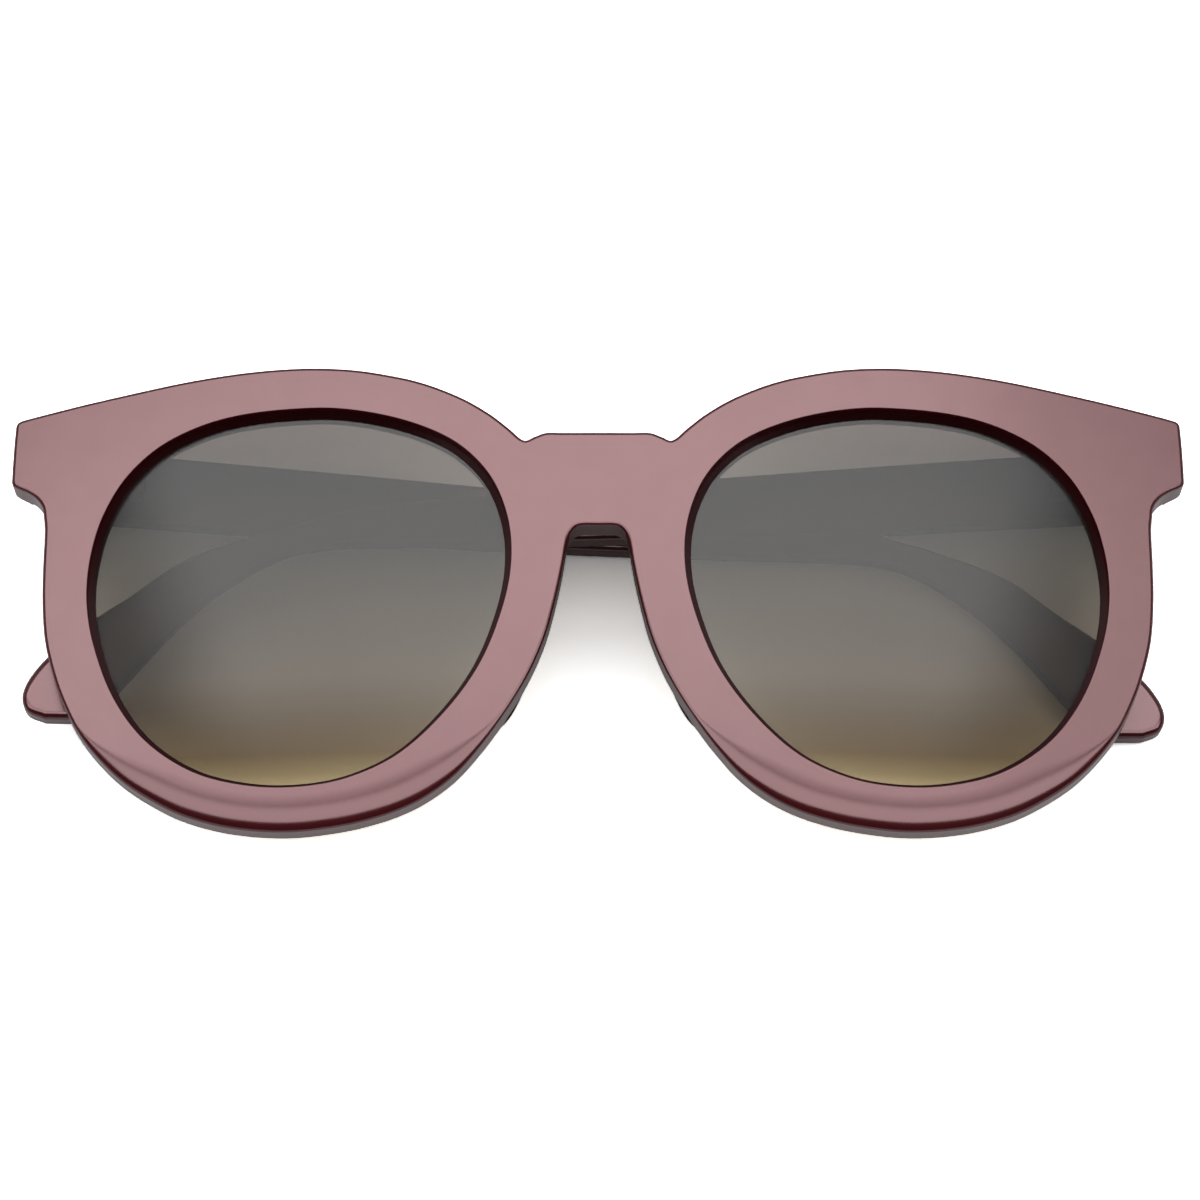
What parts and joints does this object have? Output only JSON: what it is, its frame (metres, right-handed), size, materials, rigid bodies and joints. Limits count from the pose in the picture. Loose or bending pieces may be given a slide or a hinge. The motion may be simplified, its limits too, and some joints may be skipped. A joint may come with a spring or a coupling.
{
  "type": "sunglasses",
  "caption": "Oversized sunglasses with a thick glossy plastic front, gradient lenses in deep round rims, raised nose pads and folding arms on metal barrel hinges, stored folded.",
  "frame": {"origin": "under the middle of the front, on the surface that the folded sunglasses lie on", "axes": "+X across the face to the right as seen from in front, +Y up from the lower rims to the brow, +Z out of the lenses to the front"},
  "size_m": [0.15, 0.0602, 0.0257],
  "materials": {
    "frame_plastic": "polished dark burgundy",
    "lens_tint": "polished, tinted darker towards the top",
    "hinge_metal": "satin",
    "screw_metal": "polished",
    "core_metal": "satin"
  },
  "bodies": {
    "front": {"front_frame": "frame_plastic", "lens_left": "lens_tint", "lens_right": "lens_tint", "nose_pad_left": "frame_plastic", "nose_pad_right": "frame_plastic", "front_hinge_left": "hinge_metal", "front_hinge_right": "hinge_metal", "hinge_screw_left": "screw_metal", "hinge_screw_right": "screw_metal"},
    "arm_left": {"temple_left": "frame_plastic", "temple_hinge_left": "hinge_metal", "temple_core_left": "core_metal"},
    "arm_right": {"temple_right": "frame_plastic", "temple_hinge_right": "hinge_metal", "temple_core_right": "core_metal"}
  },
  "joints": [
    {"name": "arm_left_hinge", "type": "hinge", "parent": "front", "child": "arm_left", "pos_m": [-0.068, 0.01995, 0.0097], "axis": [0.0785, 0.9969, 0], "range_deg": [0, 89.7]},
    {"name": "arm_right_hinge", "type": "hinge", "parent": "front", "child": "arm_right", "pos_m": [0.068, 0.01995, 0.0097], "axis": [0.0785, -0.9969, 0], "range_deg": [0, 93.3]}
  ]
}
